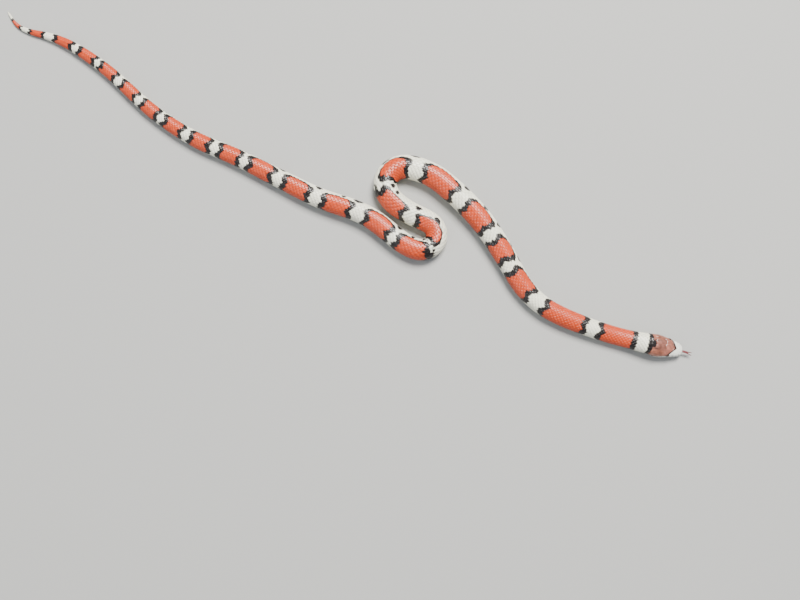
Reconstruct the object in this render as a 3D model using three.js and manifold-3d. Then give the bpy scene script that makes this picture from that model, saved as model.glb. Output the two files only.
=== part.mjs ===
// A young milk snake resting in long, loose curves with its forked tongue out, life size.
//
// Millimetres, +Z up, the belly on the ground at z = 0, +X toward the head.
// The origin is on the ground under the middle of the snake's bounding box.
// The body is a loaf-shaped section swept along a route over the ground, divided where
// a person names its parts, with a hair's breadth between one length and the next.

import * as THREE from 'three';
import { mergeVertices } from 'three/addons/utils/BufferGeometryUtils.js';
import Module from 'manifold-3d';

const wasm = await Module();
wasm.setup();

// Route of the middle of the body over the ground, from the snout to the tip of the tail
const ROUTE = [
  [94.4, -48.94], [82.4, -46.45], [69.4, -42.6], [58.8, -38.0], [54.4, -34.8],
  [50.8, -30.6], [44.8, -20.0], [39.2, -11.6], [31.6, -3.6], [25.6, 1.0],
  [17.4, 3.2], [13.6, 0.8], [12.8, -2.8], [15.0, -6.8], [19.8, -10.2],
  [21.4, -11.0], [26.2, -13.6], [27.4, -16.4], [26.4, -19.2], [23.2, -20.8],
  [18.6, -19.2], [10.0, -12.4], [5.4, -9.8], [-5.8, -5.7], [-16.0, -0.6],
  [-28.8, 6.0], [-41.2, 11.6], [-53.2, 19.6], [-67.8, 32.8], [-78.6, 40.2],
  [-84.6, 42.8], [-90.4, 44.4], [-94.2, 46.4], [-97.4, 51.0],
];
const ROUTE_STEP = 0.25;
const ROUTE_SMOOTHING = 40;

// Full width of the body at distances back from the snout
const BODY_WIDTH = [
  [0, 5.7], [10, 5.5], [14, 5.0], [20, 4.9], [30, 5.1], [45, 5.4], [60, 6.1],
  [75, 6.6], [90, 6.7], [110, 6.5], [126, 6.0], [160, 5.7], [184, 5.0], [200, 4.6],
  [212, 4.2], [246, 3.2], [254, 2.7], [263, 1.8], [270, 1.0], [275, 0.4],
];
const BODY_HEIGHT_SHARE = [[0, 0.72], [12, 0.73], [16, 0.77], [24, 0.84], [60, 0.86], [300, 0.86]];
const WIDEST_AT = 0.47;
const BACK_ROUNDNESS = 2.1;
const BELLY_ROUNDNESS = 2.7;
const BELLY_PRESS = 0.12;

// How far the throat is held off the ground
const THROAT_LIFT = [[0, 0.8], [8, 0.8], [12, 0.6], [16, 0.25], [20, 0], [300, 0]];

// Lengths of the body, each from its front end to its back end
const GAP = 0.3;
const HEAD_END = 10.3;
const LENGTHS = [
  { name: 'neck', end: 34, step: 2.4, colour: 0xc9583c },
  { name: 'forebody', end: 92, step: 2.4, colour: 0xcb5a3c },
  { name: 'upper_bend', end: 112, step: 1.1, colour: 0xcb5a3c },
  { name: 'middle_body', end: 120, step: 1.6, colour: 0xcb5a3c },
  { name: 'lower_bend', end: 141, step: 1.1, colour: 0xcb5a3c },
  { name: 'hind_body', end: 190, step: 2.4, colour: 0xc9583c },
  { name: 'rump', end: 237, step: 2.4, colour: 0xc4553a },
  { name: 'tail', end: Infinity, step: 2.0, colour: 0xb94f38 },
];
const BODY_SIDES = 28;

// Head: half width, height of the top and height of the chin at distances from the snout
const HEAD_HALF_WIDTH = [
  [0, 1.7], [1.3, 1.85], [2, 2.1], [3, 2.34], [4, 2.56], [5.5, 2.9], [7, 3.1], [8.2, 3.06],
  [9.4, 2.9], [10.5, 2.76],
];
const HEAD_TOP = [
  [0, 2.5], [1.3, 2.9], [2.6, 3.35], [4, 3.8], [5.5, 4.12], [7, 4.35], [8.5, 4.5],
  [10.5, 4.6],
];
const HEAD_CHIN = [[0, 1.0], [2, 0.86], [4, 0.8], [8, 0.78], [10.5, 0.7]];
const HEAD_WIDEST = [[0, 1.75], [2, 1.8], [5, 1.95], [8, 2.2], [10.5, 2.5]];
const NAPE_START = 7.5;
const NAPE_END = 10.8;
const SNOUT_ROUNDING = 1.4;
const CHIN_ROUNDING = 2.6;
const HEAD_TOP_ROUNDNESS = 2.5;
const HEAD_CHIN_ROUNDNESS = 2.3;
const HEAD_SIDES = 40;
const HEAD_STATIONS = 26;
const SNOUT_FACE = 0.03;

// Line of the mouth, as heights at distances from the snout, and its groove
const MOUTH_LINE = [[0, 1.62], [1.5, 1.5], [3.5, 1.46], [5.5, 1.6], [7.2, 1.86], [8.7, 2.16]];
const MOUTH_CORNER = 8.7;
const MOUTH_GROOVE = 0.18;
const MOUTH_DEPTH = 0.3;
const LIP_SWELL = 0.07;
const LIP_BREADTH = 0.3;

// Eyes, nostrils and the notch that the tongue comes out of
const EYE_RADIUS = 0.8;
const EYE_GAP = 0.15;
const EYE_BACK = 4.1;
const EYE_OUT = 1.84;
const EYE_HEIGHT = 2.56;
const NOSTRIL_RADIUS = 0.22;
const NOSTRIL_BACK = 0.85;
const NOSTRIL_OUT = 1.5;
const NOSTRIL_HEIGHT = 2.18;

// Tongue: a flat stem that splits into two tines
const TONGUE_ROOT = 0.9;
const TONGUE_STEM = 1.6;
const TONGUE_TINES = 1.3;
const TONGUE_WIDTH = 0.62;
const TONGUE_THICKNESS = 0.5;
const TONGUE_SPREAD = 0.42;
const TINE_TIP_HALF = 0.11;
const FORK_EASE = 0.3;
const TONGUE_HEIGHT = 1.6;
const TONGUE_DROOP = 0.07;
const TONGUE_SIDEWAYS = -0.09;
const TONGUE_NOTCH_GAP = 0.16;

// Value of a table of [distance, value] pairs on a smooth curve through its pairs
function along(table, s) {
  const last = table.length - 1;
  if (s <= table[0][0]) return table[0][1];
  if (s >= table[last][0]) return table[last][1];
  let i = 0;
  while (s > table[i + 1][0]) i += 1;
  const slope = (j) => {
    const a = table[Math.max(j - 1, 0)];
    const b = table[Math.min(j + 1, last)];
    return (b[1] - a[1]) / (b[0] - a[0]);
  };
  const [s0, v0] = table[i];
  const [s1, v1] = table[i + 1];
  const span = s1 - s0;
  const t = (s - s0) / span;
  const t2 = t * t;
  const t3 = t2 * t;
  return (2 * t3 - 3 * t2 + 1) * v0 + (t3 - 2 * t2 + t) * span * slope(i)
    + (3 * t2 - 2 * t3) * v1 + (t3 - t2) * span * slope(i + 1);
}

// The same line at even steps along its length
function evenSteps(line, step) {
  const even = [line[0].clone()];
  let covered = 0;
  let next = step;
  for (let i = 1; i < line.length; i += 1) {
    const piece = line[i].distanceTo(line[i - 1]);
    while (next <= covered + piece) {
      even.push(line[i - 1].clone().lerp(line[i], (next - covered) / piece));
      next += step;
    }
    covered += piece;
  }
  return even;
}

// A smooth curve through the route's points, eased so that no bend is sudden
function layRoute() {
  const points = ROUTE.map(([x, y]) => new THREE.Vector3(x, y, 0));
  const curve = new THREE.CatmullRomCurve3(points, false, 'centripetal');
  let line = evenSteps(curve.getPoints(24 * (points.length - 1)), ROUTE_STEP);
  for (let pass = 0; pass < ROUTE_SMOOTHING; pass += 1) {
    line = line.map((p, i) => {
      if (i === 0 || i === line.length - 1) return p;
      return p.clone().multiplyScalar(2).add(line[i - 1]).add(line[i + 1]).divideScalar(4);
    });
  }
  return evenSteps(line, ROUTE_STEP);
}

const route = layRoute();
const BODY_END = (route.length - 1) * ROUTE_STEP;

// Ground point of the route, its direction toward the tail and the snake's left
function onRoute(s) {
  const last = route.length - 1;
  const place = Math.min(Math.max(s / ROUTE_STEP, 0), last);
  const i = Math.min(Math.floor(place), last - 1);
  const blend = place - i;
  const heading = (j) => route[Math.min(j + 1, last)].clone().sub(route[Math.max(j - 1, 0)]).normalize();
  const point = route[i].clone().lerp(route[i + 1], blend);
  const tailward = heading(i).lerp(heading(i + 1), blend).normalize();
  if (s < 0) point.addScaledVector(tailward, s);
  const left = new THREE.Vector3(tailward.y, -tailward.x, 0);
  return { point, tailward, left };
}

// Point of a rounded section, at an angle from the top and a share of the way out
function sectionPoint(section, angle, share) {
  const roundness = Math.cos(angle) > 0 ? section.topRoundness : section.bottomRoundness;
  const reach = Math.cos(angle) > 0 ? section.top - section.widest : section.widest - section.bottom;
  const across = Math.sign(Math.sin(angle)) * Math.abs(Math.sin(angle)) ** (2 / roundness);
  const up = Math.sign(Math.cos(angle)) * Math.abs(Math.cos(angle)) ** (2 / roundness);
  return {
    across: section.halfWidth * across * share,
    height: Math.max(section.widest + reach * up * share, section.floor),
  };
}

// Section of the body, pressed flat where the belly meets the ground
function bodySection(s) {
  const width = along(BODY_WIDTH, s);
  const height = width * along(BODY_HEIGHT_SHARE, s);
  const lift = Math.max(along(THROAT_LIFT, s), 0);
  return {
    halfWidth: width / 2,
    top: lift + height,
    widest: lift + height * WIDEST_AT,
    bottom: lift - BELLY_PRESS * Math.min(1, width / 3),
    floor: lift,
    topRoundness: BACK_ROUNDNESS,
    bottomRoundness: BELLY_ROUNDNESS,
  };
}

// Share of its full size that the rounded front of the head has reached
function rounding(s, radius) {
  const left = 1 - Math.min(s / radius, 1);
  return Math.sqrt(Math.max(1 - left * left, 0));
}

function headSection(s) {
  const widest = along(HEAD_WIDEST, s);
  const snout = rounding(s, SNOUT_ROUNDING);
  const chin = rounding(s, CHIN_ROUNDING);
  return {
    halfWidth: along(HEAD_HALF_WIDTH, s) * snout,
    top: widest + (along(HEAD_TOP, s) - widest) * snout,
    widest,
    bottom: widest - (widest - along(HEAD_CHIN, s)) * chin,
    floor: 0,
    topRoundness: HEAD_TOP_ROUNDNESS,
    bottomRoundness: HEAD_CHIN_ROUNDNESS,
  };
}

// The head passes into the neck at the nape without a step
function snakeSection(s) {
  const body = bodySection(s);
  const head = headSection(s);
  const t = Math.min(Math.max((s - NAPE_START) / (NAPE_END - NAPE_START), 0), 1);
  const nape = t * t * (3 - 2 * t);
  const mixed = Object.keys(head).map((key) => [key, head[key] * (1 - nape) + body[key] * nape]);
  return Object.fromEntries(mixed);
}

// Point of the model from distance along the route, distance to the left and height
function place(s, across, height) {
  const { point, left } = onRoute(s);
  return point.addScaledVector(left, across).setZ(height);
}

// A closed length of the snake: a capped cylinder bent onto the route
function sweep(sides, stations, sectionAt, reshape = (p) => p) {
  const geometry = new THREE.CylinderGeometry(1, 1, 1, sides, stations.length - 1);
  const position = geometry.attributes.position;
  for (let i = 0; i < position.count; i += 1) {
    const x = position.getX(i);
    const z = position.getZ(i);
    const station = stations[Math.round((position.getY(i) + 0.5) * (stations.length - 1))];
    const flat = reshape(sectionPoint(sectionAt(station), Math.atan2(x, z), Math.hypot(x, z)), station);
    const point = place(station, flat.across, flat.height);
    position.setXYZ(i, point.x, point.y, point.z);
  }
  return geometry;
}

function evenStations(from, to, step) {
  const count = Math.max(2, Math.ceil((to - from) / step));
  return Array.from({ length: count + 1 }, (_, i) => from + ((to - from) * i) / count);
}

// A geometry as a solid that can be joined and cut, and back
function toSolid(geometry) {
  const bare = geometry.clone();
  bare.deleteAttribute('normal');
  bare.deleteAttribute('uv');
  const merged = mergeVertices(bare, 1e-5);
  const mesh = new wasm.Mesh({
    numProp: 3,
    vertProperties: Float32Array.from(merged.attributes.position.array),
    triVerts: Uint32Array.from(merged.index.array),
  });
  return new wasm.Manifold(mesh);
}

function toGeometry(solid) {
  const mesh = solid.getMesh();
  const geometry = new THREE.BufferGeometry();
  geometry.setAttribute('position', new THREE.BufferAttribute(Float32Array.from(mesh.vertProperties), 3));
  geometry.setIndex(new THREE.BufferAttribute(Uint32Array.from(mesh.triVerts), 1));
  geometry.computeVertexNormals();
  return geometry;
}

// The lips swell gently above and below the line of the mouth
function withLips(point, s) {
  const above = (point.height - along(MOUTH_LINE, s)) / LIP_BREADTH;
  const behind = Math.min(Math.max((MOUTH_CORNER - s) / 1.5, 0), 1);
  const swell = LIP_SWELL * Math.exp(-above * above) * behind;
  const out = Math.hypot(point.across, 0.4);
  return { across: point.across * (1 + swell / out), height: point.height };
}

// Stations are close together at the snout, where the outline turns fastest
function headStations(from, to) {
  return Array.from({ length: HEAD_STATIONS + 1 }, (_, i) => {
    const t = i / HEAD_STATIONS;
    return from + (to - from) * (0.35 * t * t + 0.65 * t ** 1.6);
  });
}

// A thin upright ribbon that follows the line of the mouth on both sides
function mouthRibbon() {
  const stations = evenStations(-0.5, MOUTH_CORNER, 0.45);
  const half = MOUTH_GROOVE / 2;
  const breadth = 4;
  const geometry = new THREE.BoxGeometry(1, 1, 1, stations.length - 1, 1, 1);
  const position = geometry.attributes.position;
  for (let i = 0; i < position.count; i += 1) {
    const s = stations[Math.round((0.5 - position.getX(i)) * (stations.length - 1))];
    const height = along(MOUTH_LINE, s) + half * Math.sign(position.getZ(i));
    const point = place(s, breadth * Math.sign(position.getY(i)), height);
    position.setXYZ(i, point.x, point.y, point.z);
  }
  return geometry;
}

function ball(radius, s, across, height, detail) {
  const geometry = new THREE.SphereGeometry(radius, detail, Math.round(detail * 0.7));
  const centre = place(s, across, height);
  geometry.rotateX(Math.PI / 2);
  geometry.translate(centre.x, centre.y, centre.z);
  return geometry;
}

// The forked tongue seen from above, extruded and then let droop toward its tips
function tongueGeometry(grow) {
  const half = TONGUE_WIDTH / 2 + grow;
  const fork = TONGUE_STEM;
  const tip = TONGUE_STEM + TONGUE_TINES + grow;
  const outline = new THREE.Shape();
  const root = -TONGUE_ROOT - grow;
  const stemEnd = fork - FORK_EASE;
  const stem = Array.from({ length: 5 }, (_, i) => root + ((stemEnd - root) * i) / 4);
  outline.moveTo(root, -half);
  stem.slice(1).forEach((out) => outline.lineTo(out, -half));
  outline.quadraticCurveTo(fork + 0.5, -half, tip, -TONGUE_SPREAD - TINE_TIP_HALF);
  outline.lineTo(tip, -TONGUE_SPREAD + TINE_TIP_HALF);
  outline.quadraticCurveTo(fork + 0.6, -0.1, fork, 0);
  outline.quadraticCurveTo(fork + 0.6, 0.1, tip, TONGUE_SPREAD - TINE_TIP_HALF);
  outline.lineTo(tip, TONGUE_SPREAD + TINE_TIP_HALF);
  outline.quadraticCurveTo(fork + 0.5, half, stemEnd, half);
  stem.slice(0, -1).reverse().forEach((out) => outline.lineTo(out, half));
  outline.closePath();
  const thickness = TONGUE_THICKNESS + 2 * grow;
  const geometry = new THREE.ExtrudeGeometry(outline, {
    depth: thickness, bevelEnabled: false, curveSegments: 6,
  });
  const position = geometry.attributes.position;
  for (let i = 0; i < position.count; i += 1) {
    const out = position.getX(i);
    const droop = TONGUE_DROOP * Math.max(out, 0) ** 2;
    const height = TONGUE_HEIGHT + position.getZ(i) - thickness / 2 - droop;
    const across = position.getY(i) + TONGUE_SIDEWAYS * (out + TONGUE_ROOT);
    const point = place(-out, across, height);
    position.setXYZ(i, point.x, point.y, point.z);
  }
  return geometry;
}

function headGeometry() {
  const stations = headStations(SNOUT_FACE, HEAD_END - GAP / 2);
  const whole = toSolid(sweep(HEAD_SIDES, stations, snakeSection, withLips));
  const inner = toSolid(sweep(HEAD_SIDES, stations, (s) => {
    const section = snakeSection(s);
    return { ...section, halfWidth: Math.max(section.halfWidth - MOUTH_DEPTH, 0.05) };
  }));
  const pushedBack = new THREE.Vector3().copy(onRoute(0).tailward).multiplyScalar(MOUTH_DEPTH);
  const core = inner.translate([pushedBack.x, pushedBack.y, 0]);
  let head = whole.subtract(toSolid(mouthRibbon()).subtract(core));
  for (const side of [1, -1]) {
    head = head.subtract(toSolid(ball(EYE_RADIUS + EYE_GAP, EYE_BACK, side * EYE_OUT, EYE_HEIGHT, 20)));
    head = head.subtract(toSolid(ball(NOSTRIL_RADIUS, NOSTRIL_BACK, side * NOSTRIL_OUT, NOSTRIL_HEIGHT, 10)));
  }
  return toGeometry(head.subtract(toSolid(tongueGeometry(TONGUE_NOTCH_GAP))));
}

const snake = new THREE.Group();

function addPiece(name, geometry, colour, roughness) {
  const material = new THREE.MeshStandardMaterial({ color: colour, roughness, metalness: 0 });
  const mesh = new THREE.Mesh(geometry, material);
  mesh.name = name;
  snake.add(mesh);
}

addPiece('head', headGeometry(), 0xa3654f, 0.4);
addPiece('eye_left', ball(EYE_RADIUS, EYE_BACK, EYE_OUT, EYE_HEIGHT, 16), 0x1a1210, 0.1);
addPiece('eye_right', ball(EYE_RADIUS, EYE_BACK, -EYE_OUT, EYE_HEIGHT, 16), 0x1a1210, 0.1);
addPiece('tongue', tongueGeometry(0), 0x7d3a3c, 0.35);

let start = HEAD_END;
for (const { name, end, step, colour } of LENGTHS) {
  const back = Math.min(end - GAP / 2, BODY_END);
  const stations = evenStations(start + GAP / 2, back, step);
  addPiece(name, sweep(BODY_SIDES, stations, snakeSection), colour, 0.4);
  start = end;
}

export default snake;
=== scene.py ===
import math

import bpy
import numpy as np
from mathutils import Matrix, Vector


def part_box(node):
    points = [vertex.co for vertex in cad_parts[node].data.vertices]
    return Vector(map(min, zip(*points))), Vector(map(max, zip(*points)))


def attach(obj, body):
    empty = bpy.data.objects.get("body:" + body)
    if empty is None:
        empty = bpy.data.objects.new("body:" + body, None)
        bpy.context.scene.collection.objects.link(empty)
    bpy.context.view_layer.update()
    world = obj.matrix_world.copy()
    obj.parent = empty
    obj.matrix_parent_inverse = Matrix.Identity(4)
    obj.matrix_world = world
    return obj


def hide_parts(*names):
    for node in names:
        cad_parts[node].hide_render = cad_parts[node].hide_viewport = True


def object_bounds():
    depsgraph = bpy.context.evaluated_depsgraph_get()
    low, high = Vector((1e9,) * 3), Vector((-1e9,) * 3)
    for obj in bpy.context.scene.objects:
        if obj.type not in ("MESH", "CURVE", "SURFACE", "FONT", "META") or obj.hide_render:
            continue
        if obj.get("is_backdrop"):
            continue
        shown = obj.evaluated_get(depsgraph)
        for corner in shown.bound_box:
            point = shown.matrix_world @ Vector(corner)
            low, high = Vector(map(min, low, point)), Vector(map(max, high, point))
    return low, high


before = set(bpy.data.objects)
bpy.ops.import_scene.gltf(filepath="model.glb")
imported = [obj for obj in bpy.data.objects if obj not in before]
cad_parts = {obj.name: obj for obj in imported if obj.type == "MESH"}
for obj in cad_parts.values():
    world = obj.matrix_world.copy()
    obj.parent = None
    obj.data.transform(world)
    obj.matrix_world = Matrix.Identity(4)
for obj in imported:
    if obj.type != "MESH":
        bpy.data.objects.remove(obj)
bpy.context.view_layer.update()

# Floor, camera and light
# A plain pale studio floor under the snake, seen steeply from above as in the photograph,
# with a soft main light from the upper right and a weak fill from the other side.
FLOOR_SIZE = 3.0
FLOOR_DROP = 0.00002
FLOOR_COLOUR = (0.38, 0.38, 0.365, 1.0)
FLOOR_ROUGHNESS = 0.8
CAMERA_TARGET = Vector((0.017, -0.0345, 0.0))
CAMERA_ELEVATION = math.radians(80)
CAMERA_DISTANCE = 0.309
CAMERA_LENS = 50
CAMERA_SENSOR = 36
CAMERA_NEAR = 0.01
CAMERA_FAR = 10
SKY_COLOUR = (0.86, 0.9, 1.0, 1.0)
SKY_STRENGTH = 0.5
LIGHTS = (
    # name, place in metres, width in metres, watts, colour
    ("main_light", (0.20, 0.36, 0.74), 0.36, 20.5, (1.0, 0.98, 0.94)),
    ("fill_light", (-0.5, -0.45, 0.5), 0.6, 2.6, (0.92, 0.96, 1.0)),
)


def new_paint(name):
    """A new material with its nodes, its links and its Principled shader."""
    paint = bpy.data.materials.new(name)
    paint.use_nodes = True
    tree = paint.node_tree
    return paint, tree.nodes, tree.links, tree.nodes["Principled BSDF"]


def set_inputs(node, values):
    """Gives a node the values of its named inputs."""
    for socket, value in values.items():
        node.inputs[socket].default_value = value


def aim(thing, place, direction):
    """Puts a camera or a lamp at a place with its front along a direction."""
    thing.location = place
    thing.rotation_mode = "QUATERNION"
    thing.rotation_quaternion = direction.to_track_quat("-Z", "Y")


bpy.ops.mesh.primitive_plane_add(size=FLOOR_SIZE, location=(0, 0, -FLOOR_DROP))
floor = bpy.context.object
floor.name = "floor"
floor_paint, _, _, shader = new_paint("floor_paint")
set_inputs(shader, {"Base Color": FLOOR_COLOUR, "Roughness": FLOOR_ROUGHNESS})
floor.data.materials.append(floor_paint)
floor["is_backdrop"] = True

camera_data = bpy.data.cameras.new("camera")
camera_data.lens = CAMERA_LENS
camera_data.sensor_width = CAMERA_SENSOR
camera_data.clip_start = CAMERA_NEAR
camera_data.clip_end = CAMERA_FAR
camera = bpy.data.objects.new("camera", camera_data)
bpy.context.collection.objects.link(camera)
camera_back = Vector((0, -math.cos(CAMERA_ELEVATION), math.sin(CAMERA_ELEVATION)))
aim(camera, CAMERA_TARGET + camera_back * CAMERA_DISTANCE, -camera_back)
bpy.context.scene.camera = camera

for name, place, width, watts, colour in LIGHTS:
    lamp = bpy.data.lights.new(name, "AREA")
    lamp.size = width
    lamp.energy = watts
    lamp.color = colour
    holder = bpy.data.objects.new(name, lamp)
    bpy.context.collection.objects.link(holder)
    aim(holder, place, -Vector(place))

world = bpy.data.worlds.new("studio")
world.use_nodes = True
set_inputs(world.node_tree.nodes["Background"], {"Color": SKY_COLOUR, "Strength": SKY_STRENGTH})
bpy.context.scene.world = world

# Skin
# One skin without a seam from the snout to the tip of the tail, over the muscle and the skull.
# The head's large shields are modelled in it; on the body it shows only between the scales.
MM = 0.001
ROUTE = [
    (94.4, -48.94), (82.4, -46.45), (69.4, -42.6), (58.8, -38.0), (54.4, -34.8),
    (50.8, -30.6), (44.8, -20.0), (39.2, -11.6), (31.6, -3.6), (25.6, 1.0),
    (17.4, 3.2), (13.6, 0.8), (12.8, -2.8), (15.0, -6.8), (19.8, -10.2),
    (21.4, -11.0), (26.2, -13.6), (27.4, -16.4), (26.4, -19.2), (23.2, -20.8),
    (18.6, -19.2), (10.0, -12.4), (5.4, -9.8), (-5.8, -5.7), (-16.0, -0.6),
    (-28.8, 6.0), (-41.2, 11.6), (-53.2, 19.6), (-67.8, 32.8), (-78.6, 40.2),
    (-84.6, 42.8), (-90.4, 44.4), (-94.2, 46.4), (-97.4, 51.0),
]
ROUTE_STEP = 0.25
ROUTE_PARTS = 24
ROUTE_SMOOTHING = 40

# Sizes of the body in mm, or as shares, at distances behind the snout
BODY_WIDTH = [
    (0, 5.7), (10, 5.5), (14, 5.0), (20, 4.9), (30, 5.1), (45, 5.4), (60, 6.1),
    (75, 6.6), (90, 6.7), (110, 6.5), (126, 6.0), (160, 5.7), (184, 5.0), (200, 4.6),
    (212, 4.2), (246, 3.2), (254, 2.7), (263, 1.8), (270, 1.0), (275, 0.4),
]
BODY_HEIGHT_SHARE = [(0, 0.72), (12, 0.73), (16, 0.77), (24, 0.84), (60, 0.86), (300, 0.86)]
THROAT_LIFT = [(0, 0.8), (8, 0.8), (12, 0.6), (16, 0.25), (20, 0.0), (300, 0.0)]
WIDEST_AT = 0.47
BELLY_BULGE = 0.12
FULL_BULGE_WIDTH = 3
BACK_ROUNDNESS = 2.1
BELLY_ROUNDNESS = 2.7

# Sizes of the head in mm at distances behind the snout
HEAD_HALF_WIDTH = [
    (0, 1.7), (1.3, 1.85), (2, 2.1), (3, 2.34), (4, 2.56), (5.5, 2.9), (7, 3.1), (8.2, 3.06),
    (9.4, 2.9), (10.5, 2.76),
]
HEAD_TOP = [
    (0, 2.5), (1.3, 2.9), (2.6, 3.35), (4, 3.8), (5.5, 4.12), (7, 4.35), (8.5, 4.5),
    (10.5, 4.6),
]
HEAD_CHIN = [(0, 1.0), (2, 0.86), (4, 0.8), (8, 0.78), (10.5, 0.7)]
HEAD_WIDEST = [(0, 1.75), (2, 1.8), (5, 1.95), (8, 2.2), (10.5, 2.5)]
CROWN_ROUNDNESS = 2.5
JAW_ROUNDNESS = 2.3
SNOUT_CURVE = 1.4
CHIN_CURVE = 2.6
NAPE_START = 7.5
NAPE_END = 10.8


def along(table, place):
    """Values of a table of (distance, value) pairs on a smooth curve through its pairs."""
    at = np.array([pair[0] for pair in table], float)
    value = np.array([pair[1] for pair in table], float)
    place = np.clip(np.asarray(place, float), at[0], at[-1])
    following = np.minimum(np.arange(len(at)) + 1, len(at) - 1)
    previous = np.maximum(np.arange(len(at)) - 1, 0)
    slope = (value[following] - value[previous]) / (at[following] - at[previous])
    left = np.clip(np.searchsorted(at, place, side="left") - 1, 0, len(at) - 2)
    right = left + 1
    span = at[right] - at[left]
    part = (place - at[left]) / span
    return ((2 * part**3 - 3 * part**2 + 1) * value[left]
            + (part**3 - 2 * part**2 + part) * span * slope[left]
            + (3 * part**2 - 2 * part**3) * value[right]
            + (part**3 - part**2) * span * slope[right])


def smooth_step(low, high, value):
    """Nothing below the low value, one above the high value, and smooth between them."""
    part = np.clip((np.asarray(value, float) - low) / (high - low), 0, 1)
    return part * part * (3 - 2 * part)


def even_steps(line, step):
    """The same line with its points at equal distances."""
    gone = np.concatenate([[0], np.cumsum(np.linalg.norm(np.diff(line, axis=0), axis=1))])
    wanted = np.arange(0, gone[-1], step)
    return np.stack([np.interp(wanted, gone, line[:, way]) for way in (0, 1)], axis=1)


def lay_route():
    """The route as a smooth line at even steps, eased so that no bend is sudden."""
    points = np.array(ROUTE, float)
    before = 2 * points[0] - points[1]
    after = 2 * points[-1] - points[-2]
    longer = np.concatenate([[before], points, [after]])
    line = []
    for first in range(len(points) - 1):
        four = longer[first:first + 4]
        knot = [0.0]
        for number in range(3):
            knot.append(knot[-1] + math.sqrt(np.linalg.norm(four[number + 1] - four[number])))
        for at in np.linspace(knot[1], knot[2], ROUTE_PARTS, endpoint=False):
            level = list(four)
            for depth in (1, 2, 3):
                for number in range(4 - depth):
                    low = knot[number] if depth < 3 else knot[1]
                    high = knot[number + depth] if depth < 3 else knot[2]
                    part = (at - low) / (high - low)
                    level[number] = level[number] * (1 - part) + level[number + 1] * part
            line.append(level[0])
    line.append(points[-1])
    line = even_steps(np.array(line), ROUTE_STEP)
    for _ in range(ROUTE_SMOOTHING):
        line[1:-1] = (line[:-2] + 2 * line[1:-1] + line[2:]) / 4
    return even_steps(line, ROUTE_STEP)


route = lay_route()
BODY_END = (len(route) - 1) * ROUTE_STEP
route_behind = np.arange(len(route)) * ROUTE_STEP
tailward = np.gradient(route, axis=0)
tailward /= np.linalg.norm(tailward, axis=1)[:, None]
leftward = np.stack([tailward[:, 1], -tailward[:, 0]], axis=1)
bend = np.gradient(np.unwrap(np.arctan2(tailward[:, 1], tailward[:, 0])), ROUTE_STEP)


def nose_curve(behind, length):
    """How full the head is, as a share, over the rounded first length of it."""
    return np.sqrt(np.clip(1 - (1 - np.minimum(behind / length, 1)) ** 2, 0, 1))


def section_shape(behind):
    """Half width, top, widest height, bottom, floor and two roundnesses of the section."""
    behind = np.asarray(behind, float)
    level = 0 * behind
    width = along(BODY_WIDTH, behind)
    height = width * along(BODY_HEIGHT_SHARE, behind)
    lift = np.maximum(along(THROAT_LIFT, behind), 0)
    bulge = BELLY_BULGE * np.minimum(1, width / FULL_BULGE_WIDTH)
    body = [width / 2, lift + height, lift + height * WIDEST_AT, lift - bulge, lift,
            BACK_ROUNDNESS + level, BELLY_ROUNDNESS + level]
    snout = nose_curve(behind, SNOUT_CURVE)
    chin = nose_curve(behind, CHIN_CURVE)
    widest = along(HEAD_WIDEST, behind)
    head = [along(HEAD_HALF_WIDTH, behind) * snout,
            widest + (along(HEAD_TOP, behind) - widest) * snout, widest,
            widest - (widest - along(HEAD_CHIN, behind)) * chin, level,
            CROWN_ROUNDNESS + level, JAW_ROUNDNESS + level]
    nape = smooth_step(NAPE_START, NAPE_END, behind)
    return [of_head * (1 - nape) + of_body * nape for of_head, of_body in zip(head, body)]


# The surface as a table: for each step behind the snout and each share of the way round from
# the middle of the back to the middle of the belly, the distance out to the side and the height
ROUND_STEPS = 128
SECTION_ANGLES = 361
SKIN_START = 0.004
SNOUT_TIP = 0.06
SNOUT_FINE = 1.5
TABLE_STEP = 0.125
NORMAL_STEP = 0.1
NORMAL_SHARE = 0.008
NEAR_NOTHING = 1e-9
table_behind = np.concatenate([np.linspace(0, SNOUT_TIP, 4)[:-1] + SKIN_START,
                               np.linspace(SNOUT_TIP, SNOUT_FINE, 40)[:-1],
                               np.arange(SNOUT_FINE, BODY_END, TABLE_STEP)])


def round_section(behind):
    """Distances out and heights of a section from the middle of the back down to the belly's."""
    half, top, widest, bottom, floor_level, up_round, down_round = section_shape(behind)
    angle = np.linspace(0, math.pi, SECTION_ANGLES)
    upper = np.cos(angle) > 0
    power = 2 / np.where(upper, up_round, down_round)
    rise = np.sign(np.cos(angle)) * np.abs(np.cos(angle)) ** power
    reach = np.where(upper, top - widest, widest - bottom)
    across = half * np.sin(angle) ** power
    height = np.maximum(widest + reach * rise, floor_level)
    gone = np.concatenate([[0], np.cumsum(np.hypot(np.diff(across), np.diff(height)))])
    places = np.linspace(0, 1, ROUND_STEPS + 1) * gone[-1]
    return np.interp(places, gone, across), np.interp(places, gone, height)


table_out, table_up = (np.array(part) for part in
                       zip(*[round_section(behind) for behind in table_behind]))


def outline_at(behind, share):
    """Distance out to the left and height, in mm, of a place on the surface."""
    steps = np.interp(behind, table_behind, np.arange(len(table_behind)))
    rounds = np.clip(np.abs(share), 0, 1) * ROUND_STEPS
    row = np.clip(steps.astype(int), 0, len(table_behind) - 2)
    column = np.minimum(rounds.astype(int), ROUND_STEPS - 1)
    past_row = steps - row
    past_column = rounds - column
    mixed = []
    for table in (table_out, table_up):
        upper = table[row, column] * (1 - past_row) + table[row + 1, column] * past_row
        lower = table[row, column + 1] * (1 - past_row) + table[row + 1, column + 1] * past_row
        mixed.append(upper * (1 - past_column) + lower * past_column)
    return mixed[0] * np.sign(share), mixed[1]


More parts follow.
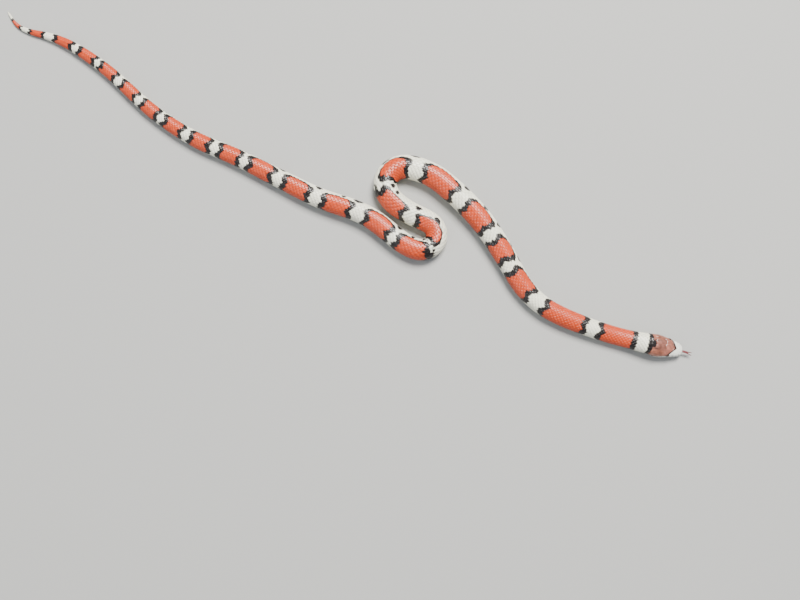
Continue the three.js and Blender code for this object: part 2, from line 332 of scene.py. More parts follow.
def point_at(behind, share):
    """Point of the surface, in mm, at a distance behind the snout and a share round it."""
    across, height = outline_at(behind, share)
    flat = [np.interp(behind, route_behind, route[:, way])
            + across * np.interp(behind, route_behind, leftward[:, way]) for way in (0, 1)]
    return np.stack([*flat, height], axis=-1)


def surface(behind, share):
    """Point and outward normal of the surface.

    The share runs from -1 (belly, right side) over 0 (back) to 1 (belly, left side)."""
    behind = np.asarray(behind, float)
    share = np.asarray(share, float)
    along_body = (point_at(behind + NORMAL_STEP, share)
                  - point_at(np.maximum(behind - NORMAL_STEP, SKIN_START), share))
    around = point_at(behind, share + NORMAL_SHARE) - point_at(behind, share - NORMAL_SHARE)
    normal = np.cross(around, along_body)
    normal /= np.maximum(np.linalg.norm(normal, axis=-1), NEAR_NOTHING)[..., None]
    return point_at(behind, share), normal


# Markings of the body: the red saddles by their front and back edges in mm behind the snout,
# how far they reach down the side that faces away from the camera, in degrees from the middle
# of the back, and which side that is, as the body turns back on itself in its two bends
SADDLES = (
    (14.3, 22.2), (28.6, 38.7), (45.7, 51.6), (57.0, 61.6), (67.5, 74.4), (81.2, 89.9),
    (97.0, 103.5), (108.0, 114.2), (120.2, 128.9), (132.8, 139.4), (144.2, 150.6),
    (157.4, 163.6), (169.8, 175.8), (181.5, 187.0), (192.0, 196.4), (201.4, 205.6),
    (210.4, 214.6), (219.0, 223.0), (227.4, 231.4), (236.0, 240.0), (244.0, 248.0),
    (252.4, 256.4), (261.6, 264.6), (268.8, 271.4),
)
FAR_EDGE = [
    (0, 95), (34, 90), (48, 60), (59, 55), (70, 44), (105.3, 44), (106.2, 20), (114, 20),
    (121, 9), (125, 18), (129, 38), (136, 40), (147, 50), (160, 36), (173, 42), (184, 66),
    (215, 68), (240, 76), (275, 86),
]
FAR_SIDE = [(0, 1), (105.3, 1), (106.2, -1), (130.5, -1), (131.2, 1), (300, 1)]
NEAR_EDGE = 102
NEAR_EXTRA = 10
RED_SHORT = 1
BLACK_PAST = 5
SADDLE_BLACK = 1.65
SADDLE_WAIST = 0.42
FLANK = 42
FLARE = 0.012
FLARE_BREADTH = 30
EDGE_WAVE = 0.14
EDGE_RIPPLE = 0.08
EDGE_TURN = 2.4
FULL_HALF_SADDLE = 2.4
SMALLEST_SADDLE = 0.4
COLLAR_FRONT = 9.9
COLLAR_BACK = 12.9
COLLAR_FRONT_SLANT = 0.25
COLLAR_BACK_SLANT = 0.3
FIRST_BLACK_DOWN = 125
NAPE_BLACK_DOWN = 118
RED = np.array([0.55, 0.056, 0.010])
BLACK = np.array([0.007, 0.0045, 0.004])
CREAM = np.array([0.88, 0.86, 0.70])
CROWN = np.array([0.24, 0.085, 0.058])
LABIAL = np.array([0.78, 0.78, 0.70])

# Black blotches low on the sides, between the saddles and under some of them: the ranges of
# their shift along the body, degrees below the saddle, half length and half breadth
BETWEEN_BLOTCH = ((0.7, 0.4), (14, 20), (0.9, 1.4), (13, 18))
UNDER_BLOTCH = ((0, 0.6), (16, 22), (0.6, 1.0), (11, 16))
UNDER_CHANCE = 0.6
UNDER_FROM = 50
blotch_draw = np.random.default_rng(7)


def draw_blotch(at, side, shift, below, length, breadth):
    """One blotch near a place: distance behind the snout, degrees and two half sizes."""
    return (at + blotch_draw.normal(*shift), side * blotch_draw.uniform(*below),
            blotch_draw.uniform(*length), blotch_draw.uniform(*breadth))


saddle_front, saddle_back = (np.array(part, float) for part in zip(*SADDLES))
saddle_mid = (saddle_front + saddle_back) / 2
blotches = []
for number in range(len(SADDLES) - 1):
    between = (saddle_back[number] + saddle_front[number + 1]) / 2
    for side in (-1, 1):
        blotches.append(draw_blotch(between, side, *BETWEEN_BLOTCH))
        if blotch_draw.random() < UNDER_CHANCE and saddle_mid[number] > UNDER_FROM:
            blotches.append(draw_blotch(saddle_mid[number], side, *UNDER_BLOTCH))


def closing(down):
    """Share of its full length that a saddle keeps toward its lower edge."""
    return np.sqrt(np.clip(1 - np.clip(down, 0, 1) ** 6, 0, 1))


def ragged(degrees, wave_breadth, wave_turn, ripple_breadth, ripple_turn):
    """How unevenly a saddle's edge runs from scale to scale, in mm."""
    return (EDGE_WAVE * np.sin(degrees / wave_breadth + wave_turn)
            + EDGE_RIPPLE * np.sin(degrees / ripple_breadth + ripple_turn))


def saddle_ends(number, degrees, centre):
    """How much further each end of a saddle reaches at a place round the body, in mm.

    The ends draw in on the middle of the back. Between the bends they flare on the flanks."""
    turned = np.abs(degrees - centre)
    turn = number * EDGE_TURN
    waist = -SADDLE_WAIST * np.cos(np.pi * np.minimum(turned / FLANK, 1))
    flare = FLARE * np.clip(turned - FLANK, 0, FLARE_BREADTH) * (centre > 0)
    front = (waist + flare) * (number > 0) + ragged(degrees, 17, turn, 7, 3 * turn)
    back = waist + flare + ragged(degrees, 15, -turn, 8, 5 * turn)
    return front, back


def body_pigment(behind, share):
    """Colour of the body at a distance behind the snout and a share round the body."""
    behind, share = np.broadcast_arrays(np.asarray(behind, float), share)
    degrees = share * 180.0
    side = np.interp(behind, *zip(*FAR_SIDE))
    far = np.interp(behind, *zip(*FAR_EDGE))
    centre = -(NEAR_EDGE - far) / 2 * side
    toward_near = (degrees - centre) * side < 0
    reach = (NEAR_EDGE + far) / 2 + np.where(toward_near, NEAR_EXTRA, 0)
    turned = np.abs(degrees - centre)
    black = np.zeros(behind.shape, bool)
    red = np.zeros(behind.shape, bool)
    for number, (front, back) in enumerate(SADDLES):
        half = (back - front) / 2
        middle = (back + front) / 2
        size = np.clip(half / FULL_HALF_SADDLE, SMALLEST_SADDLE, 1.0)
        front_more, back_more = saddle_ends(number, degrees, centre)
        red_half = half + np.where(behind < middle, front_more, back_more) * size
        black_half = red_half + SADDLE_BLACK * size
        off = np.abs(behind - middle)
        red |= off < red_half * closing(turned / (reach - RED_SHORT))
        black |= off < black_half * closing(turned / (reach + BLACK_PAST))
    for at, around, length, breadth in blotches:
        low_side = centre + around + np.sign(around) * reach
        spot = ((behind - at) / length) ** 2 + ((degrees - low_side) / breadth) ** 2
        black |= (spot < 1) & ~red
    from_back = np.abs(degrees)
    collar_front = COLLAR_FRONT + COLLAR_FRONT_SLANT * smooth_step(25, 95, from_back)
    collar_back = COLLAR_BACK - COLLAR_BACK_SLANT * smooth_step(30, 90, degrees)
    in_collar = (behind > collar_front) & (behind <= collar_back)
    before_saddle = (behind > COLLAR_BACK) & (behind < saddle_front[0] + 0.5)
    black |= before_saddle & (from_back < FIRST_BLACK_DOWN)
    colour = np.where(black[..., None], BLACK, CREAM)
    colour = np.where(red[..., None], RED, colour)
    colour = np.where(in_collar[..., None], CREAM, colour)
    nape = (behind <= collar_front) & (from_back < NAPE_BLACK_DOWN)
    return np.where(nape[..., None], BLACK, colour)


# The shields of the head as cells round their middles: distance behind the snout, distance out
# to the side, height, and how strongly the cell pushes its neighbours back
SHIELDS = (
    (0.05, 0.0, 1.95, 0.55), (0.95, 0.5, 2.75, 0.5), (1.95, 0.75, 3.1, 0.65),
    (3.75, 0.0, 3.65, 0.95), (3.85, 1.45, 3.45, 0.7), (6.3, 0.95, 4.05, 1.35),
    (8.3, 0.5, 4.35, 0.5), (8.4, 1.5, 4.0, 0.45), (0.65, 1.25, 2.2, 0.42),
    (1.35, 1.55, 2.25, 0.42), (2.15, 1.95, 2.4, 0.45), (2.85, 2.1, 2.75, 0.42),
    (4.85, 2.2, 3.2, 0.36), (4.95, 2.45, 2.55, 0.36), (5.9, 2.5, 2.95, 0.55),
    (6.9, 2.55, 3.1, 0.55), (6.1, 2.75, 2.35, 0.5), (7.1, 2.85, 2.45, 0.5),
    (7.9, 2.6, 3.1, 0.5), (0.45, 1.0, 1.75, 0.35), (1.15, 1.6, 1.75, 0.4),
    (1.95, 1.95, 1.75, 0.42), (2.85, 2.25, 1.75, 0.45), (3.75, 2.5, 1.8, 0.45),
    (4.75, 2.7, 1.85, 0.5), (5.95, 2.85, 1.85, 0.5), (7.1, 2.9, 1.95, 0.5),
    (8.2, 2.85, 2.2, 0.45), (0.2, 0.0, 1.35, 0.4), (0.7, 0.85, 1.2, 0.4),
    (1.5, 1.4, 1.15, 0.42), (2.4, 1.85, 1.15, 0.45), (3.4, 2.15, 1.15, 0.47),
    (4.5, 2.45, 1.2, 0.5), (5.7, 2.6, 1.25, 0.55), (6.9, 2.7, 1.4, 0.5),
    (8.0, 2.65, 1.6, 0.5), (2.1, 0.5, 0.85, 0.8), (4.0, 0.6, 0.8, 0.85),
    (5.6, 0.9, 0.78, 0.6), (5.6, 1.8, 0.85, 0.6), (7.0, 0.6, 0.78, 0.6),
    (7.0, 1.7, 0.85, 0.6), (8.4, 0.0, 0.75, 0.6), (8.4, 1.2, 0.75, 0.6), (8.4, 2.1, 0.95, 0.5),
)
shield_cells = []
for behind, out, height, strength in SHIELDS:
    shield_cells.append((behind, out, height, strength))
    if out > 0:
        shield_cells.append((behind, -out, height, strength))
shield_cells = np.array(shield_cells)
shield_middles = shield_cells[:, :3]


def head_place(behind, share):
    """Place in the head's own axes: distance behind the snout, distance to the left, height."""
    return np.stack([behind, *outline_at(behind, share)], axis=-1)


def head_cells(place):
    """Index of the shield at a place and the distance to its nearest edge."""
    flat = place.reshape(-1, 3)
    power = (((flat[:, None, :] - shield_middles[None]) ** 2).sum(axis=2)
             - shield_cells[None, :, 3] ** 2)
    order = np.argsort(power, axis=1)[:, :2]
    nearest, second = np.take_along_axis(power, order, axis=1).T
    apart = np.linalg.norm(shield_middles[order[:, 0]] - shield_middles[order[:, 1]], axis=1)
    edge = (second - nearest) / (2 * apart)
    return order[:, 0].reshape(place.shape[:-1]), edge.reshape(place.shape[:-1])


# Markings of the head: their places in mm behind the snout, out to the side and up, and how
# strongly its tone varies
COARSE_MOTTLE = 0.45
FINE_MOTTLE = 0.15
LIP_MOTTLE = 0.3
COARSE_STRENGTH = 0.30
FINE_STRENGTH = 0.16
SHIELD_STRENGTH = 0.16
SHIELD_TURN = 5.3
LOBE_FRONT = 5.2
LOBE_INSIDE = 1.4
LOBE_WARMTH = np.array([0.30, 0.25, 0.10])
LIP_TOP = 2.68
LIP_FALL = 0.2
LIP_FALL_START = 5.2
LIP_END = 8.9
CHEEK_LINE_RISE = 0.1
CHEEK_LINE_HALF = 0.08
CHEEK_LINE_FRONT = 4.7
CHEEK_LINE_BACK = 9.2
RIM_OUT = 1.3
RIM_NARROWING = 0.1
RIM_HALF = 0.07
RIM_FRONT = 7.0
RIM_BACK = 8.7
NAPE_FRONT = 7.6
NAPE_HALF = 1.0
NAPE_SIDE_FRONT = 8.6
CHEVRON_FRONT = 2.05
CHEVRON_LEFT_SLOPE = 0.55
CHEVRON_RIGHT_SLOPE = 0.95
CHEVRON_HALF = 0.2
PALE_SNOUT_END = 0.26
BAR_HALF = 0.045
BAR_END = 8.4
BAR_OUT = 1.3
CHIN_LINE = 0.9
THROAT_TOP = 0.95
THROAT_END = 9.6
HEAD_COLOUR_END = 9.3
mottle_draw = np.random.default_rng(11)
MOTTLE_WAVES = mottle_draw.normal(0, 1, (7, 3))
MOTTLE_TURNS = mottle_draw.uniform(0, 6.28, 7)


def past(value, limit, soft=0.05):
    """Nothing up to a limit and one past it, with a soft border."""
    return smooth_step(limit - soft, limit + soft, value)


def within(value, limit, soft=0.05):
    """One up to a limit and nothing past it, with a soft border."""
    return 1 - past(value, limit, soft)


def mottling(place, size):
    """A smooth random tone over a place on the head, from -1 to 1."""
    tone = np.zeros(place.shape[:-1])
    for wave, turn in zip(MOTTLE_WAVES, MOTTLE_TURNS):
        tone = tone + np.sin(place @ wave / size + turn)
    return np.tanh(tone / 2.2)


def paint_over(colour, tone, mask):
    """A tone over a colour where a mask is one."""
    return colour * (1 - mask[..., None]) + tone * mask[..., None]


def head_pigment(place, cell, edge):
    """Colour of the head: cream snout, a black chevron, brown crown and a black nape."""
    behind, out, height = place[..., 0], np.abs(place[..., 1]), place[..., 2]
    own_tone = 1 + SHIELD_STRENGTH * np.sin(cell * SHIELD_TURN)
    uneven = (1 + COARSE_STRENGTH * mottling(place, COARSE_MOTTLE)
              + FINE_STRENGTH * mottling(place, FINE_MOTTLE))
    lobe = past(behind, LOBE_FRONT, 0.5) * past(out, LOBE_INSIDE, 0.3)
    colour = CROWN * (own_tone * uneven)[..., None] * (1 + lobe[..., None] * LOBE_WARMTH)

    lip_top = LIP_TOP - LIP_FALL * np.clip(behind - LIP_FALL_START, 0, 3)
    cheek_line = within(np.abs(height - lip_top - CHEEK_LINE_RISE), CHEEK_LINE_HALF)
    cheek_line = cheek_line * past(behind, CHEEK_LINE_FRONT) * within(behind, CHEEK_LINE_BACK)
    rim_out = RIM_OUT - RIM_NARROWING * (RIM_BACK - behind)
    rim = within(np.abs(out - rim_out), RIM_HALF) * past(behind, RIM_FRONT)
    rim = rim * within(behind, RIM_BACK)
    colour = paint_over(colour, BLACK * 1.5, np.maximum(cheek_line, rim))

    nape = past(behind, NAPE_FRONT + 0.3 * out) * within(out, NAPE_HALF)
    nape_side = past(behind, NAPE_SIDE_FRONT + 0.45 * smooth_step(1.5, 2.8, out))
    colour = paint_over(colour, BLACK, np.maximum(nape, nape_side))

    slope = np.where(place[..., 1] > 0, CHEVRON_LEFT_SLOPE, CHEVRON_RIGHT_SLOPE)
    off_chevron = behind - CHEVRON_FRONT - slope * out
    colour = paint_over(colour, BLACK, within(np.abs(off_chevron), CHEVRON_HALF, 0.06))
    colour = paint_over(colour, LABIAL, within(off_chevron, -PALE_SNOUT_END, 0.04))

    lips = within(height, lip_top) * within(behind, LIP_END)
    colour = paint_over(colour, LABIAL, lips)
    bars = within(edge, BAR_HALF, 0.035) * within(behind, BAR_END) * past(out, BAR_OUT)
    bars = bars * past(height, CHIN_LINE) * lips * (0.75 + 0.25 * mottling(place, LIP_MOTTLE))
    colour = paint_over(colour, BLACK * 2.0, bars)
    return paint_over(colour, CREAM, within(height, THROAT_TOP) * within(behind, THROAT_END))


def pigment_at(behind, share):
    """Marking at any place on the snake, with the head's own as far as the nape."""
    behind, share = np.broadcast_arrays(behind, share)
    colour = body_pigment(behind, share)
    on_head = behind < HEAD_COLOUR_END
    if np.any(on_head):
        place = head_place(behind[on_head], share[on_head])
        colour[on_head] = head_pigment(place, *head_cells(place))
    return colour


def add_mesh(name, points, faces, colours=None, unwrap=None):
    """A mesh object from arrays in mm, with a colour for each point and one UV map."""
    mesh = bpy.data.meshes.new(name)
    faces = np.asarray(faces, np.int32)
    sides = faces.shape[1]
    mesh.vertices.add(len(points))
    mesh.vertices.foreach_set("co", (np.asarray(points) * MM).astype(np.float32).ravel())
    mesh.loops.add(faces.size)
    mesh.loops.foreach_set("vertex_index", faces.ravel())
    mesh.polygons.add(len(faces))
    mesh.polygons.foreach_set("loop_start", np.arange(0, faces.size, sides, dtype=np.int32))
    mesh.polygons.foreach_set("use_smooth", np.ones(len(faces), bool))
    mesh.update(calc_edges=True)
    mesh.validate()
    if colours is not None:
        layer = mesh.color_attributes.new("pigment", "FLOAT_COLOR", "POINT")
        rgba = np.concatenate([colours, np.ones((len(colours), 1))], axis=1).astype(np.float32)
        layer.data.foreach_set("color", rgba.ravel())
    if unwrap is not None:
        layer = mesh.uv_layers.new(name="OFBake")
        layer.data.foreach_set("uv", np.asarray(unwrap, np.float32)[faces.ravel()].ravel())
    piece = bpy.data.objects.new(name, mesh)
    bpy.context.collection.objects.link(piece)
    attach(piece, "root")
    return piece


def grid_faces(rows, columns, first=0):
    """Quads of a grid whose last column joins its first."""
    row, column = np.meshgrid(np.arange(rows - 1), np.arange(columns), indexing="ij")
    here = row * columns + column
    beside = row * columns + (column + 1) % columns
    quads = np.stack([here, here + columns, beside + columns, beside], axis=-1)
    return first + quads.reshape(-1, 4)


def halved(quads):
    """Two triangles for each quad."""
    return np.concatenate([quads[:, [0, 1, 2]], quads[:, [0, 2, 3]]])


def fan(middle, ring, turned=False):
    """Triangles from a middle point to the ring round it, turned over where it faces back."""
    following = np.roll(ring, -1)
    outer = (following, ring) if turned else (ring, following)
    return np.stack([np.full(len(ring), middle), *outer], axis=1)


# An unwrap of the skin: the upper part of the square holds the head, and the body's length is
# laid below it in strips
HEAD_SHARE = 0.3
HEAD_UNWRAP_END = 11
STRIPS = 7
STRIP_START = 0.01
STRIP_LENGTH = 0.98
STRIP_HALF = 0.46
SNOUT_UNWRAP = [0.01, 0.85]
TIP_UNWRAP = [0.99, 0.01]


def unwrap_place(behind, share):
    """Place in the unwrap of a distance behind the snout and a share round the body."""
    behind = np.asarray(behind, float)
    body = (behind - HEAD_UNWRAP_END) / (BODY_END - HEAD_UNWRAP_END)
    body = np.clip(body, 0, 0.99999) * STRIPS
    strip = np.floor(body)
    tall = (1 - HEAD_SHARE) / STRIPS
    body_across = STRIP_START + STRIP_LENGTH * (body - strip)
    body_up = tall * (strip + 0.5 + share * STRIP_HALF)
    head_across = STRIP_START + STRIP_LENGTH * np.clip(behind / HEAD_UNWRAP_END, 0, 1)
    head_up = 1 - HEAD_SHARE / 2 + share * HEAD_SHARE * STRIP_HALF
    in_head = behind < HEAD_UNWRAP_END
    return np.stack([np.where(in_head, head_across, body_across),
                     np.where(in_head, head_up, body_up)], axis=-1)


# The mesh of the skin, with many points on the head and fewer on the body, and the relief of
# its shields, mouth, lips, nostrils and eye rims in mm
HEAD_ROWS = 236
HEAD_SIDES = 288
BODY_ROWS = 380
BODY_SIDES = 72
SKIN_JOIN = 10.9
JOIN_GAP = 0.1
TAIL_GAP = 0.05
SNOUT_CROWDING = 1.3
SKIN_INSET = 0.07
HEAD_INSET = 0.02
HEAD_RELIEF_FADE = (8.6, 9.4)
SHIELDS_END = 11.2
SUTURE_DEPTH = 0.05
SUTURE_BREADTH = 0.055
MOUTH_LINE = [(0, 1.62), (1.5, 1.5), (3.5, 1.46), (5.5, 1.6), (7.2, 1.86), (8.7, 2.16)]
MOUTH_CORNER = 8.7
MOUTH_FADE = 0.6
MOUTH_HALF = 0.085
MOUTH_DEPTH = 0.3
LIP_RISE = 0.05
LIP_BREADTH = 3.5
EYE_PLACE = (4.1, 1.84, 2.56)
EYE_RADIUS = 0.8
EYE_RIM_RISE = 0.07
EYE_RIM_BREADTH = 0.14
EYE_RIM_INSIDE = 0.2
NOSTRIL_PLACE = (0.95, 1.45, 2.2)
NOSTRIL_RADIUS = 0.17
NOSTRIL_DEPTH = 0.25
# Painted shade in the sunken mouth groove and the nostrils: how strongly it darkens the skin's
# colour
HOLLOW_SHADE_STRENGTH = 0.93
MOUTH_SHADE_WEIGHT = 1.6


def skin_grid(rows, sides):
    """Distances behind the snout and shares round the body of every point of a grid."""
    return np.meshgrid(rows, np.linspace(-1, 1, sides, endpoint=False), indexing="ij")


def off_pair(behind, out, height):
    """Distance of each point of the skin from the nearer of a pair of places on the head."""
    return np.sqrt((local[..., 0] - behind) ** 2 + (np.abs(local[..., 1]) - out) ** 2
                   + (local[..., 2] - height) ** 2)


head_rows = SKIN_START + SKIN_JOIN * np.linspace(0, 1, HEAD_ROWS) ** SNOUT_CROWDING
body_rows = np.linspace(SKIN_JOIN + JOIN_GAP, BODY_END - TAIL_GAP, BODY_ROWS)
head_grid = skin_grid(head_rows, HEAD_SIDES)
body_grid = skin_grid(body_rows, BODY_SIDES)
grid_behind = np.concatenate([head_grid[0].ravel(), body_grid[0].ravel()])
grid_share = np.concatenate([head_grid[1].ravel(), body_grid[1].ravel()])
skin_point, skin_normal = surface(grid_behind, grid_share)
local = head_place(grid_behind, grid_share)
in_head = 1 - smooth_step(*HEAD_RELIEF_FADE, grid_behind)

near_head = grid_behind < SHIELDS_END
edge = np.ones(grid_behind.shape)
edge[near_head] = head_cells(local[near_head])[1]
suture = SUTURE_DEPTH * np.exp(-(edge / SUTURE_BREADTH) ** 2)
mouth_gap = (local[..., 2] - along(MOUTH_LINE, grid_behind)) / MOUTH_HALF
mouth = MOUTH_DEPTH * np.exp(-mouth_gap ** 4)
mouth = mouth * (1 - smooth_step(MOUTH_CORNER - MOUTH_FADE, MOUTH_CORNER, grid_behind))
lip = LIP_RISE * np.exp(-(mouth_gap / LIP_BREADTH) ** 2)
nostril = NOSTRIL_DEPTH * np.exp(-(off_pair(*NOSTRIL_PLACE) / NOSTRIL_RADIUS) ** 4)
eye_off = off_pair(*EYE_PLACE)
rim = EYE_RIM_RISE * np.exp(-((eye_off - EYE_RADIUS) / EYE_RIM_BREADTH) ** 2)
rim = rim * (eye_off > EYE_RADIUS - EYE_RIM_INSIDE)
relief = in_head * (lip + rim - suture - nostril - mouth) - (1 - in_head) * SKIN_INSET
relief = relief - HEAD_INSET * in_head
skin_point = skin_point + skin_normal * relief[..., None]
# Painted shade: the skin's colour is darkened in the mouth groove and the nostrils, where shade
# falls in these hollows
painted_hollow_shade = np.clip(MOUTH_SHADE_WEIGHT * mouth / MOUTH_DEPTH + nostril / NOSTRIL_DEPTH, 0, 1) * in_head
skin_colour = pigment_at(grid_behind, grid_share) * (1 - HOLLOW_SHADE_STRENGTH * painted_hollow_shade[..., None])

head_count = HEAD_ROWS * HEAD_SIDES
last_ring = len(skin_point) - BODY_SIDES
snout_middle = skin_point[:HEAD_SIDES].mean(axis=0)
tip_middle = skin_point[last_ring:].mean(axis=0)
around_body = np.arange(BODY_SIDES)

# A ring of triangles that joins four sides of the head's grid to each side of the body's
ratio = HEAD_SIDES // BODY_SIDES
fine_steps = ratio * around_body[:, None] + np.arange(ratio + 1)[None]
fine = head_count - HEAD_SIDES + fine_steps % HEAD_SIDES
coarse = head_count + around_body
coarse_next = np.roll(coarse, -1)
join = [np.stack([coarse, coarse_next, fine[:, ratio // 2]], axis=1)]
for step in range(ratio):
    corner = coarse if step < ratio // 2 else coarse_next
    join.append(np.stack([fine[:, step], corner, fine[:, step + 1]], axis=1))

quads = np.concatenate([grid_faces(HEAD_ROWS, HEAD_SIDES),
                        grid_faces(BODY_ROWS, BODY_SIDES, head_count)])
ends = [fan(len(skin_point), np.arange(HEAD_SIDES)),
        fan(len(skin_point) + 1, last_ring + around_body, turned=True)]
skin = add_mesh("skin",
                np.concatenate([skin_point, [snout_middle], [tip_middle]]),
                np.concatenate([halved(quads)] + ends + join),
                np.concatenate([skin_colour, [LABIAL], [BLACK]]),
                np.concatenate([unwrap_place(grid_behind, grid_share),
                                [SNOUT_UNWRAP], [TIP_UNWRAP]]))
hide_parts("head", "neck", "forebody", "upper_bend", "middle_body", "lower_bend",
            "hind_body", "rump", "tail")

# The keratin over the pigment, uneven in tone and gloss and with a very fine relief
KERATIN_TONES = (0.86, 1.12)
KERATIN_UNEVENNESS = 900.0
KERATIN_DETAIL = 3.0
KERATIN_SPECULAR = 0.34
KERATIN_COAT_ROUGHNESS = 0.15
SMOOTHER = 0.06
ROUGHER = 0.08
RELIEF_STRENGTH = 0.18
RELIEF_DEPTH = 0.00003


def keratin_group():
    """A node group that makes the pigment uneven in tone and gives a fine relief."""
    group = bpy.data.node_groups.new("keratin", "ShaderNodeTree")
    for socket in ("Unevenness", "Darkest", "Lightest", "Relief Scale"):
        group.interface.new_socket(socket, in_out="INPUT", socket_type="NodeSocketFloat")
    group.interface.new_socket("Colour", in_out="OUTPUT", socket_type="NodeSocketColor")
    group.interface.new_socket("Normal", in_out="OUTPUT", socket_type="NodeSocketVector")
    nodes = group.nodes
    links = group.links
    inputs = nodes.new("NodeGroupInput")
    outputs = nodes.new("NodeGroupOutput")
    pigment = nodes.new("ShaderNodeAttribute")
    pigment.attribute_name = "pigment"
    pigment.attribute_type = "GEOMETRY"
    spread = nodes.new("ShaderNodeMapRange")
    tint = nodes.new("ShaderNodeVectorMath")
    tint.operation = "SCALE"
    where = nodes.new("ShaderNodeTexCoord")
    fine = nodes.new("ShaderNodeTexNoise")
    bump = nodes.new("ShaderNodeBump")
    set_inputs(bump, {"Strength": RELIEF_STRENGTH, "Distance": RELIEF_DEPTH})
    links.new(inputs.outputs["Unevenness"], spread.inputs["Value"])
    links.new(inputs.outputs["Darkest"], spread.inputs["To Min"])
    links.new(inputs.outputs["Lightest"], spread.inputs["To Max"])
    links.new(pigment.outputs["Color"], tint.inputs[0])
    links.new(spread.outputs["Result"], tint.inputs["Scale"])
    links.new(where.outputs["Object"], fine.inputs["Vector"])
    links.new(inputs.outputs["Relief Scale"], fine.inputs["Scale"])
    links.new(fine.outputs["Fac"], bump.inputs["Height"])
    links.new(tint.outputs["Vector"], outputs.inputs["Colour"])
    links.new(bump.outputs["Normal"], outputs.inputs["Normal"])
    return group


keratin = keratin_group()


def place_keratin(nodes, links, uneven, tones):
    """Places the keratin group in a material, fed by the material's own noise."""
    look = nodes.new("ShaderNodeGroup")
    look.node_tree = keratin
    set_inputs(look, {"Darkest": tones[0], "Lightest": tones[1]})
    links.new(uneven.outputs["Fac"], look.inputs["Unevenness"])
    return look


def keratin_material(name, roughness, relief_scale, coat):
    """Glossy keratin over pigment."""
    material, nodes, links, shader = new_paint(name)
    where = nodes.new("ShaderNodeTexCoord")
    uneven = nodes.new("ShaderNodeTexNoise")
    look = place_keratin(nodes, links, uneven, KERATIN_TONES)
    gloss = nodes.new("ShaderNodeMapRange")
    set_inputs(uneven, {"Scale": KERATIN_UNEVENNESS, "Detail": KERATIN_DETAIL})
    set_inputs(look, {"Relief Scale": relief_scale})
    set_inputs(gloss, {"To Min": roughness - SMOOTHER, "To Max": roughness + ROUGHER})
    set_inputs(shader, {"Specular IOR Level": KERATIN_SPECULAR, "Coat Weight": coat,
                        "Coat Roughness": KERATIN_COAT_ROUGHNESS})
    links.new(where.outputs["Object"], uneven.inputs["Vector"])
    links.new(uneven.outputs["Fac"], gloss.inputs["Value"])
    links.new(look.outputs["Colour"], shader.inputs["Base Color"])
    links.new(look.outputs["Normal"], shader.inputs["Normal"])
    links.new(gloss.outputs["Result"], shader.inputs["Roughness"])
    return material


skin.data.materials.append(keratin_material(
    "skin_between_scales", roughness=0.27, relief_scale=6000.0, coat=0.5))

# Scales of the back and sides
# Smooth overlapping plates of keratin, one row beside the next and each row half a scale
# behind its neighbour. Every scale is a closed plate set into the skin at its front edge.
BACK_ROWS = 21
MIDDLE_ROW = BACK_ROWS // 2
ROWS = range(-MIDDLE_ROW, MIDDLE_ROW + 1)
ROW_ENDS = {10: 236.0, 9: 232.0, 8: 150.0, 7: 240.0, 6: 190.0, 5: 243.0}
PAST_TAIL = 1000.0
CLOSED_ROW = 0.45
VENT = 237
BELLY_SHARE = 0.74
TAIL_BELLY_NARROWING = 0.02
PITCH = 0.34
PITCH_POWER = 0.7
FIRST_SCALE = 8.4
CROWN_END = 8.5
CHEEK_AHEAD = 0.9
JAW_BEHIND = 0.7
LAST_SCALE_GAP = 1.2
TAIL_TIP_GAP = 0.8
SCALE_LENGTH = 1.62
SCALE_BREADTH = 0.80
SCALE_OVERLAP = 1.56
SCALE_FRONT_DEPTH = -0.08
SCALE_BACK_RISE = 0.036
SCALE_WIDEST = 0.45
SCALE_EDGE_FALL = 0.022
SCALE_TIP_FALL = 0.02
PLATE_LONG = 6
PLATE_WIDE = 5
PLATE_AHEAD = 0.38
PLATE_THICKNESS = 0.16
THICK_PLATE_LENGTH = 1.2
BEND_GIVE = (0.85, 1.7)
BEND_POWER = 0.7
PLATE_START = 0.3
PLATE_END_GAP = 0.02
PATCH_HALF_BREADTH = 0.0014
PATCH_LENGTH = 0.0028
PATCH_LIMITS = (0.001, 0.999)
TIP_DARKNESS = 0.22
EDGE_DARKNESS = 0.1
SCALE_VARIATION = 0.05
PALE = 0.5


def scale_pitch(behind):
    """Distance from one scale of a row to the next, in mm."""
    return PITCH * np.maximum(along(BODY_WIDTH, behind), 0.5) ** PITCH_POWER


def scale_steps(first, last):
    """Distances of the scales of one row, each a pitch behind the last."""
    steps = [first]
    while steps[-1] < last:
        steps.append(steps[-1] + float(scale_pitch(steps[-1])))
    return np.array(steps)


def row_weights(behind):
    """How wide each row is at a distance: a row that ends shrinks and closes first."""
    ends = [ROW_ENDS.get(abs(row), PAST_TAIL) for row in ROWS]
    return np.array([1 - smooth_step(end - 3, end + 1, behind) for end in ends])


def belly_edge(behind):
    """Share round the body where the back's scales meet the belly's."""
    return BELLY_SHARE + TAIL_BELLY_NARROWING * smooth_step(VENT - 1, VENT + 7, behind)


def row_start(share):
    """Where the first scale of a row lies behind the head's shields."""
    out = np.abs(share)
    return (CROWN_END - CHEEK_AHEAD * smooth_step(0.25, 0.6, out)
            + JAW_BEHIND * smooth_step(0.6, 0.8, out))


back_steps = scale_steps(FIRST_SCALE, BODY_END - LAST_SCALE_GAP)
back_plates = []
for step in back_steps:
    pitch = float(scale_pitch(step))
    for row in ROWS:
        behind = step + (pitch / 2 if row % 2 else 0.0)
        weights = row_weights(behind)
        place = row + MIDDLE_ROW
        if weights[place] < CLOSED_ROW:
            continue
        edges = np.concatenate([[0], np.cumsum(weights)]) / weights.sum() * 2 - 1
        share = (edges[place] + edges[place + 1]) / 2 * belly_edge(behind)
        half_share = (edges[place + 1] - edges[place]) / 2 * belly_edge(behind)
        if behind < row_start(share) or behind > BODY_END - TAIL_TIP_GAP:
            continue
        back_plates.append((behind, share, half_share, pitch * SCALE_LENGTH))
back_plates = np.array(back_plates)


